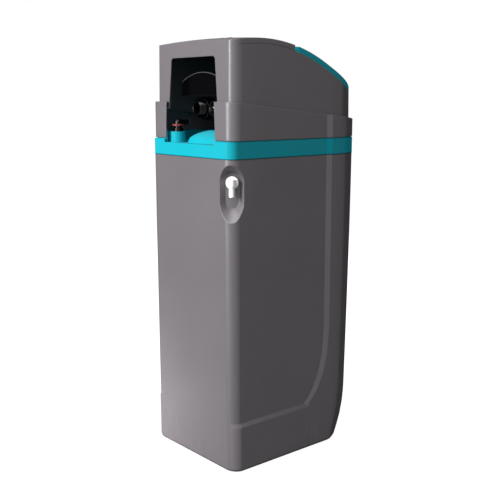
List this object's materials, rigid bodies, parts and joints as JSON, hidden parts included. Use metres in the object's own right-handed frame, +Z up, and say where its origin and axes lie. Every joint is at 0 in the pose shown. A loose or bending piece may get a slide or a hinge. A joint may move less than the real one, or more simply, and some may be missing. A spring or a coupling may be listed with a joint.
{
  "type": "cabinet water softener",
  "caption": "Tall cabinet water softener with a bowed front, contrast band, hinged salt lid and lift-off hood over a resin tank and motorised control valve.",
  "frame": {"origin": "centre of the bounding box on the floor", "axes": "+Z up; the bowed front and salt lid face -Y, the plumbing window faces +Y, +X is the brine pipe's side"},
  "size_m": [0.352, 0.505, 1.1016],
  "materials": {
    "grey_plastic": "fine satin moulding",
    "teal_plastic": "smooth moulding",
    "black_plastic": "satin moulding",
    "gloss_black_plastic": "polished",
    "dark_plastic": "satin moulding",
    "white_plastic": "smooth moulding",
    "rubber": "matt",
    "steel": "brushed",
    "red_plastic": "smooth moulding",
    "tank_laminate": "wound laminate",
    "resin_beads": "beads",
    "board_green": "coated board"
  },
  "bodies": {
    "cabinet": {"cabinet": "grey_plastic", "support_frame": "teal_plastic", "collar": "grey_plastic", "overflow_elbow": "white_plastic", "overflow_gasket": "rubber", "overflow_nut": "white_plastic", "resin_tank": "tank_laminate", "tank_boot": "black_plastic", "riser_tube": "white_plastic", "lower_basket": "white_plastic", "upper_basket": "white_plastic", "resin_bed": "resin_beads", "neck_seal": "rubber", "valve_body": "black_plastic", "inlet_fitting": "black_plastic", "outlet_fitting": "black_plastic", "port_nuts": "black_plastic", "turbine_cage": "white_plastic", "injector_cap": "black_plastic", "drain_elbow": "black_plastic", "piston_bonnet": "black_plastic", "drive_bracket": "black_plastic", "bracket_screws": "steel", "drive_motor": "steel", "drive_cover": "gloss_black_plastic", "brine_pipe": "white_plastic", "air_check": "black_plastic", "brine_elbow": "black_plastic", "brine_clip": "red_plastic"},
    "hood": {"hood": "grey_plastic", "lid_hinge_pins": "steel", "top_panel": "grey_plastic", "display_window": "gloss_black_plastic", "circuit_board": "board_green"},
    "salt_lid": {"salt_lid": "teal_plastic"},
    "menu_button": {"menu_button": "dark_plastic"},
    "up_button": {"up_button": "dark_plastic"},
    "down_button": {"down_button": "dark_plastic"},
    "regenerate_button": {"regenerate_button": "teal_plastic"},
    "meter_turbine": {"meter_turbine": "white_plastic"},
    "piston": {"piston": "white_plastic"},
    "motor_pinion": {"motor_pinion": "white_plastic"},
    "reduction_gear": {"reduction_gear": "white_plastic"},
    "drive_gear": {"drive_gear": "white_plastic"},
    "brine_float": {"brine_float": "white_plastic"}
  },
  "joints": [
    {"name": "hood_lift", "type": "slide", "parent": "cabinet", "child": "hood", "axis": [0, 0, 1], "range_m": [0, 0.15]},
    {"name": "lid_hinge", "type": "hinge", "parent": "hood", "child": "salt_lid", "pos_m": [0, 0.025, 1.077], "axis": [-1, 0, 0], "range_deg": [0, 95]},
    {"name": "menu_press", "type": "slide", "parent": "hood", "child": "menu_button", "axis": [0, 0, -1], "range_m": [0, 0.0015], "stiffness_N_per_m": 300, "springref_m": -0.001},
    {"name": "up_press", "type": "slide", "parent": "hood", "child": "up_button", "axis": [0, 0, -1], "range_m": [0, 0.0015], "stiffness_N_per_m": 300, "springref_m": -0.001},
    {"name": "down_press", "type": "slide", "parent": "hood", "child": "down_button", "axis": [0, 0, -1], "range_m": [0, 0.0015], "stiffness_N_per_m": 300, "springref_m": -0.001},
    {"name": "regenerate_press", "type": "slide", "parent": "hood", "child": "regenerate_button", "axis": [0, 0, -1], "range_m": [0, 0.0015], "stiffness_N_per_m": 300, "springref_m": -0.001},
    {"name": "turbine_spin", "type": "hinge", "parent": "cabinet", "child": "meter_turbine", "pos_m": [-0.036, 0.1873, 0.925], "axis": [0, 1, 0], "continuous": true},
    {"name": "drive_gear_spin", "type": "hinge", "parent": "cabinet", "child": "drive_gear", "pos_m": [0, 0.115, 0.9833], "axis": [0, 0, 1], "range_deg": [0, 1080]},
    {"name": "piston_slide", "type": "slide", "parent": "cabinet", "child": "piston", "axis": [0, 0, 1], "range_m": [0, 0.0181]},
    {"name": "reduction_spin", "type": "hinge", "parent": "cabinet", "child": "reduction_gear", "pos_m": [0, 0.1525, 0.9883], "axis": [0, 0, 1], "range_deg": [-4321, 1]},
    {"name": "pinion_spin", "type": "hinge", "parent": "cabinet", "child": "motor_pinion", "pos_m": [0.026, 0.172, 0.9938], "axis": [0, 0, 1], "range_deg": [-1, 14401]},
    {"name": "float_rise", "type": "slide", "parent": "cabinet", "child": "brine_float", "axis": [0, 0, 1], "range_m": [0, 0.06]}
  ],
  "couplings": [
    {"joint": "piston_slide", "follows": "drive_gear_spin", "m_per_rad": 0.00095492},
    {"joint": "reduction_spin", "follows": "drive_gear_spin", "ratio": -4},
    {"joint": "pinion_spin", "follows": "drive_gear_spin", "ratio": 13.333}
  ]
}
